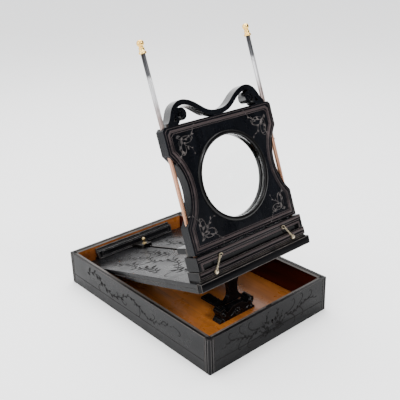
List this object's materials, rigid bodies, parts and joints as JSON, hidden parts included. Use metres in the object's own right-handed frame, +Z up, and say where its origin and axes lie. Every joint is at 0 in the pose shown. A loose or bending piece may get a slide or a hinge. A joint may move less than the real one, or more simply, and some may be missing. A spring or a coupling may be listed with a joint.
{
  "type": "stereo graphoscope",
  "caption": "Ebonised wooden box with a propped platform, a hinged frame whose large lens slides on two rods, a folding stereo lens board and a sliding card holder.",
  "frame": {"origin": "middle of the underside of the box", "axes": "+Z up; -Y towards the keyhole wall, where the viewer sits; +Y towards the wall the platform is hinged on; X across the width"},
  "size_m": [0.25, 0.365, 0.4396],
  "materials": {
    "ebonised_wood": "ebonised and polished, incised",
    "stained_wood": "stained and polished",
    "rod_steel": "polished, tarnished",
    "lock_steel": "dull",
    "finial_brass": "polished",
    "hook_brass": "worn",
    "fittings_brass": "dull",
    "lens_glass": "clear"
  },
  "bodies": {
    "box": {"box_floor": "stained_wood", "box_wall_front": "ebonised_wood", "box_wall_back": "ebonised_wood", "box_wall_left": "ebonised_wood", "box_wall_right": "ebonised_wood", "box_corner_front_left": "ebonised_wood", "box_corner_front_right": "ebonised_wood", "box_corner_back_left": "ebonised_wood", "box_corner_back_right": "ebonised_wood", "lock_case": "lock_steel", "prop_base": "ebonised_wood", "prop_rack": "ebonised_wood", "platform_hinge_wall_left": "fittings_brass", "platform_hinge_wall_right": "fittings_brass"},
    "platform": {"platform_board": "ebonised_wood", "platform_apron_left": "ebonised_wood", "platform_apron_right": "ebonised_wood", "platform_end_board": "ebonised_wood", "platform_hinge_board_left": "fittings_brass", "platform_hinge_board_right": "fittings_brass", "prop_hinge_board": "fittings_brass", "plinth": "ebonised_wood", "fold_hinge_lower_left": "fittings_brass", "fold_hinge_lower_right": "fittings_brass", "hook_screw_left": "hook_brass", "hook_screw_right": "hook_brass"},
    "prop": {"prop_strut": "ebonised_wood", "prop_hinge_strut": "fittings_brass"},
    "lens_frame": {"lens_rail": "ebonised_wood", "rod_left": "rod_steel", "rod_right": "rod_steel", "finial_left": "finial_brass", "finial_right": "finial_brass", "fold_hinge_upper_left": "fittings_brass", "fold_hinge_upper_right": "fittings_brass", "hook_stud_left": "hook_brass", "hook_stud_right": "hook_brass", "stereo_bracket_left": "fittings_brass", "stereo_bracket_right": "fittings_brass"},
    "lens_panel": {"lens_panel": "ebonised_wood", "lens_bezel": "ebonised_wood", "lens_glass": "lens_glass", "lens_retaining_ring": "ebonised_wood", "pediment": "ebonised_wood"},
    "stereo_flap": {"stereo_board": "ebonised_wood", "stereo_ring_left": "fittings_brass", "stereo_ring_right": "fittings_brass", "stereo_lens_left": "lens_glass", "stereo_lens_right": "lens_glass"},
    "holder": {"holder_rail": "ebonised_wood", "holder_tongue": "fittings_brass", "clamp_stud": "fittings_brass"},
    "knob": {"clamp_knob": "fittings_brass"},
    "hook_left": {"hook_left": "hook_brass"},
    "hook_right": {"hook_right": "hook_brass"}
  },
  "joints": [
    {"name": "platform_tilt", "type": "hinge", "parent": "box", "child": "platform", "pos_m": [0, 0.1675, 0.024], "axis": [1, 0, 0], "range_deg": [0, 13.1]},
    {"name": "prop_fold", "type": "hinge", "parent": "platform", "child": "prop", "pos_m": [0, -0.08987, 0.09729], "axis": [1, 0, 0], "range_deg": [0, 75]},
    {"name": "lens_fold", "type": "hinge", "parent": "platform", "child": "lens_frame", "pos_m": [0, -0.11768, 0.13067], "axis": [-1, 0, 0], "range_deg": [0, 84.8]},
    {"name": "stereo_fold", "type": "hinge", "parent": "lens_frame", "child": "stereo_flap", "pos_m": [0, -0.1117, 0.1565], "axis": [1, 0, 0], "range_deg": [0, 84.9]},
    {"name": "lens_slide", "type": "slide", "parent": "lens_frame", "child": "lens_panel", "axis": [0, 0.3305, 0.9438], "range_m": [0, 0.098]},
    {"name": "holder_slide", "type": "slide", "parent": "platform", "child": "holder", "axis": [0, -0.9608, 0.2773], "range_m": [0, 0.147]},
    {"name": "knob_turn", "type": "hinge", "parent": "holder", "child": "knob", "pos_m": [0, 0.13114, 0.04442], "axis": [0, 0.2773, 0.9608], "range_deg": [0, 300]},
    {"name": "hook_left_swing", "type": "hinge", "parent": "platform", "child": "hook_left", "pos_m": [-0.079, -0.14824, 0.13264], "axis": [0, -0.9438, 0.3305], "range_deg": [0, 130]},
    {"name": "hook_right_swing", "type": "hinge", "parent": "platform", "child": "hook_right", "pos_m": [0.079, -0.14824, 0.13264], "axis": [0, 0.9438, -0.3305], "range_deg": [0, 130]}
  ],
  "couplings": [
    {"joint": "prop_fold", "follows": "platform_tilt", "ratio": 5.717},
    {"joint": "stereo_fold", "follows": "lens_fold", "ratio": 1}
  ]
}
